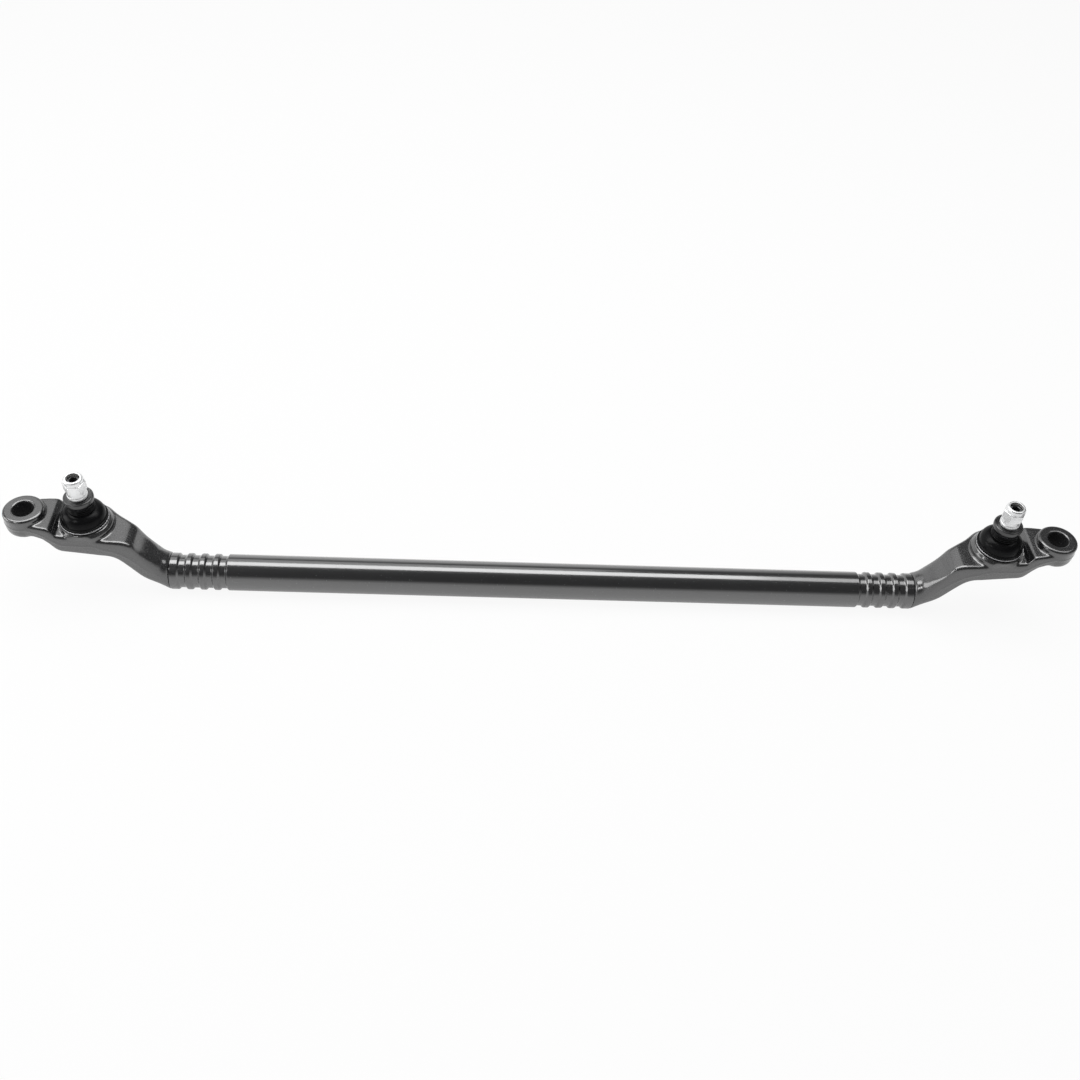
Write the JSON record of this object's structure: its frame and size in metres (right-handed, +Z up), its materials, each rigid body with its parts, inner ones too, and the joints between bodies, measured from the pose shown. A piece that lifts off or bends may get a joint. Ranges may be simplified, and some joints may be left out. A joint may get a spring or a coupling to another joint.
{
  "type": "steering center link",
  "caption": "Steering center link: a straight tube with forged arms crimped into its ends, each arm with a booted ball stud and a tapered eye for a tie rod.",
  "frame": {"origin": "on the tube's axis, halfway between its ends", "axes": "+X along the tube to the right arm, +Y to the rear of the picture, +Z up along the ball studs"},
  "size_m": [0.7768, 0.041, 0.104],
  "materials": {
    "tube_paint": "satin black paint",
    "forging_paint": "black paint on a forged surface",
    "boot_rubber": "glossy black rubber",
    "collar_rubber": "black rubber",
    "wire": "blackened wire",
    "stud_steel": "turned steel",
    "nut_zinc": "bright zinc plate",
    "insert_nylon": "nylon",
    "seat_plastic": "acetal",
    "spring_steel": "tempered steel",
    "cover_steel": "black paint"
  },
  "bodies": {
    "link": {"centre_tube": "tube_paint", "left_forged_end": "forging_paint", "left_socket_cover": "cover_steel", "left_pressure_spring": "spring_steel", "left_boot_clamp_ring": "wire", "right_forged_end": "forging_paint", "right_socket_cover": "cover_steel", "right_pressure_spring": "spring_steel", "right_boot_clamp_ring": "wire"},
    "left_seat": {"left_lower_seat": "seat_plastic", "left_upper_seat": "seat_plastic", "left_dust_boot": "boot_rubber"},
    "left_collar": {"left_boot_collar": "collar_rubber", "left_boot_garter_spring": "wire"},
    "left_stud": {"left_ball_stud": "stud_steel", "left_lock_nut": "nut_zinc", "left_nut_insert": "insert_nylon"},
    "right_seat": {"right_lower_seat": "seat_plastic", "right_upper_seat": "seat_plastic", "right_dust_boot": "boot_rubber"},
    "right_collar": {"right_boot_collar": "collar_rubber", "right_boot_garter_spring": "wire"},
    "right_stud": {"right_ball_stud": "stud_steel", "right_lock_nut": "nut_zinc", "right_nut_insert": "insert_nylon"}
  },
  "joints": [
    {"name": "left_lean_direction", "type": "hinge", "parent": "link", "child": "left_seat", "pos_m": [-0.3332, 0.0034, 0.0408], "axis": [0, 0, 1], "continuous": true},
    {"name": "left_lean", "type": "hinge", "parent": "left_seat", "child": "left_collar", "pos_m": [-0.3332, 0.0034, 0.0408], "axis": [0, 1, 0], "range_deg": [-20, 20], "deforming": ["left_dust_boot"]},
    {"name": "left_stud_spin", "type": "hinge", "parent": "left_collar", "child": "left_stud", "pos_m": [-0.3332, 0.0034, 0.0408], "axis": [0, 0, 1], "continuous": true},
    {"name": "right_lean_direction", "type": "hinge", "parent": "link", "child": "right_seat", "pos_m": [0.3332, 0.0034, 0.0408], "axis": [0, 0, 1], "continuous": true},
    {"name": "right_lean", "type": "hinge", "parent": "right_seat", "child": "right_collar", "pos_m": [0.3332, 0.0034, 0.0408], "axis": [0, 1, 0], "range_deg": [-20, 20], "deforming": ["right_dust_boot"]},
    {"name": "right_stud_spin", "type": "hinge", "parent": "right_collar", "child": "right_stud", "pos_m": [0.3332, 0.0034, 0.0408], "axis": [0, 0, 1], "continuous": true}
  ]
}
